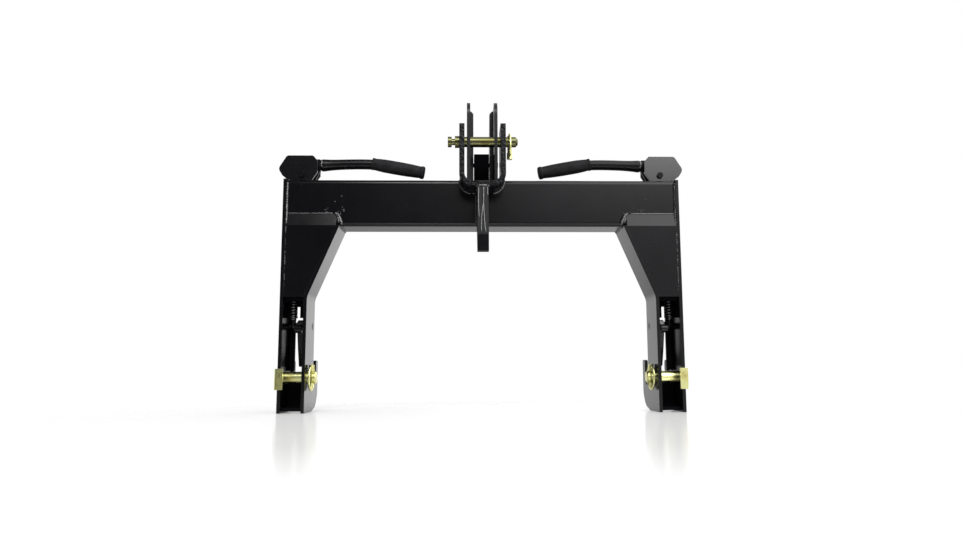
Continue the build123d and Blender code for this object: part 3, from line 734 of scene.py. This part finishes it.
gloss = ground.add("ShaderNodeBsdfGlossy")
gloss.inputs["Roughness"].default_value = FLOOR_BLUR
floor_axes = ground.add("ShaderNodeSeparateXYZ")
ground.link(ground.coords, floor_axes.inputs[0])
near = ground.add("ShaderNodeMapRange", interpolation_type="SMOOTHSTEP")
near.inputs["From Min"].default_value = SHEEN_END
near.inputs["From Max"].default_value = SHEEN_START
near.inputs["To Max"].default_value = FLOOR_SHEEN
ground.link(floor_axes.outputs["Y"], near.inputs["Value"])
sheen = ground.add("ShaderNodeMixShader")
ground.link(near.outputs["Result"], sheen.inputs["Fac"])
ground.link(ground.shader.outputs["BSDF"], sheen.inputs[1])
ground.link(gloss.outputs["BSDF"], sheen.inputs[2])

away = ground.add("ShaderNodeVectorMath", operation="LENGTH")
ground.link(ground.coords, away.inputs[0])
fade = ground.add("ShaderNodeMapRange", interpolation_type="SMOOTHSTEP")
fade.inputs["From Min"].default_value = FADE_FROM
fade.inputs["From Max"].default_value = FADE_TO
ground.link(away.outputs["Value"], fade.inputs["Value"])
clear = ground.add("ShaderNodeBsdfTransparent")
faded = ground.add("ShaderNodeMixShader")
ground.link(fade.outputs["Result"], faded.inputs["Fac"])
ground.link(sheen.outputs["Shader"], faded.inputs[1])
ground.link(clear.outputs["BSDF"], faded.inputs[2])
output = ground.tree.nodes["Material Output"]
ground.link(faded.outputs["Shader"], output.inputs["Surface"])
dress(floor, ground.material)


# World: white to the camera, even light on matt faces, and a studio in glossy reflections

DIFFUSE_LEVEL = 0.65
# The side of the camera: dark on the left, brighter on the right, a lamp box high on the right
ROOM_LEFT = 0.05
ROOM_RIGHT = 1.0
BOX_LEVEL = 5.2
# The paper behind the part: brighter on the right, darker low down
PAPER_LEFT = 1.08
PAPER_RIGHT = 1.5
PAPER_LOW = 0.5
# Overhead, behind the part: dark on the left, bright on the right
TOP_LEFT = 0.05
TOP_RIGHT = 2.6
# Over which parts of a direction's X, Y or Z each of these changes
ROOM_X = (-0.1, 0.28)
BOX_X = (-0.18, 0.28)
BOX_Z = (0.238, 0.28)
BEHIND_Y = (-0.6, -0.1)
PAPER_X = (-0.2, 0.2)
PAPER_Z = (-0.16, 0.0)
TOP_X = (-0.2, 0.4)
TOP_Z = (0.2, 0.55)
# The Mix node's number sockets
MIX_FACTOR = 0
MIX_A = 2
MIX_B = 3

world = bpy.data.worlds.new("studio")
world.use_nodes = True
scene.world = world
tree = world.node_tree
back = tree.nodes["Background"]
back.inputs["Color"].default_value = (1, 1, 1, 1)


def remap(source, span, first, second):
    """A smooth change from first to second while source crosses span."""
    node = tree.nodes.new("ShaderNodeMapRange")
    node.interpolation_type = "SMOOTHSTEP"
    node.inputs["From Min"].default_value = span[0]
    node.inputs["From Max"].default_value = span[1]
    node.inputs["To Min"].default_value = first
    node.inputs["To Max"].default_value = second
    tree.links.new(source, node.inputs["Value"])
    return node.outputs["Result"]


def choose(factor, first, second):
    """first where factor is 0, second where it is 1; each is a number or a socket."""
    node = tree.nodes.new("ShaderNodeMix")
    for socket, value in ((MIX_FACTOR, factor), (MIX_A, first), (MIX_B, second)):
        if isinstance(value, float):
            node.inputs[socket].default_value = value
        else:
            tree.links.new(value, node.inputs[socket])
    return node.outputs[0]


def combine(operation, first, second):
    """The sum, product or other operation of two sockets."""
    node = tree.nodes.new("ShaderNodeMath")
    node.operation = operation
    tree.links.new(first, node.inputs[0])
    tree.links.new(second, node.inputs[1])
    return node.outputs[0]


look = tree.nodes.new("ShaderNodeTexCoord")
axes = tree.nodes.new("ShaderNodeSeparateXYZ")
tree.links.new(look.outputs["Generated"], axes.inputs[0])
room = remap(axes.outputs["X"], ROOM_X, ROOM_LEFT, ROOM_RIGHT)
box_across = remap(axes.outputs["X"], BOX_X, 0.0, BOX_LEVEL)
box_up = remap(axes.outputs["Z"], BOX_Z, 0.0, 1.0)
front = combine("ADD", room, combine("MULTIPLY", box_across, box_up))
paper_across = remap(axes.outputs["X"], PAPER_X, PAPER_LEFT, PAPER_RIGHT)
paper_up = remap(axes.outputs["Z"], PAPER_Z, PAPER_LOW, 1.0)
paper = combine("MULTIPLY", paper_across, paper_up)
top = remap(axes.outputs["X"], TOP_X, TOP_LEFT, TOP_RIGHT)
overhead = remap(axes.outputs["Z"], TOP_Z, 0.0, 1.0)
is_behind = remap(axes.outputs["Y"], BEHIND_Y, 0.0, 1.0)
glossy = choose(is_behind, front, choose(overhead, paper, top))
path = tree.nodes.new("ShaderNodeLightPath")
level = choose(path.outputs["Is Glossy Ray"], DIFFUSE_LEVEL, glossy)
level = choose(path.outputs["Is Transmission Ray"], level, 1.0)
level = choose(path.outputs["Is Camera Ray"], level, 1.0)
tree.links.new(level, back.inputs["Strength"])


# Lamp: one square area light, in metres and watts

LAMP_AT = Vector((-0.3, -2.7, 2.8))
LAMP_AIM = Vector((0, 0, 0.25))
LAMP_SIZE = 0.8
LAMP_POWER = 42

lamp_data = bpy.data.lights.new("key", "AREA")
lamp_data.shape = "SQUARE"
lamp_data.size = LAMP_SIZE
lamp_data.energy = LAMP_POWER
lamp = bpy.data.objects.new("key", lamp_data)
lamp.location = LAMP_AT
lamp.rotation_euler = (LAMP_AIM - LAMP_AT).to_track_quat("-Z", "Y").to_euler()
scene.collection.objects.link(lamp)
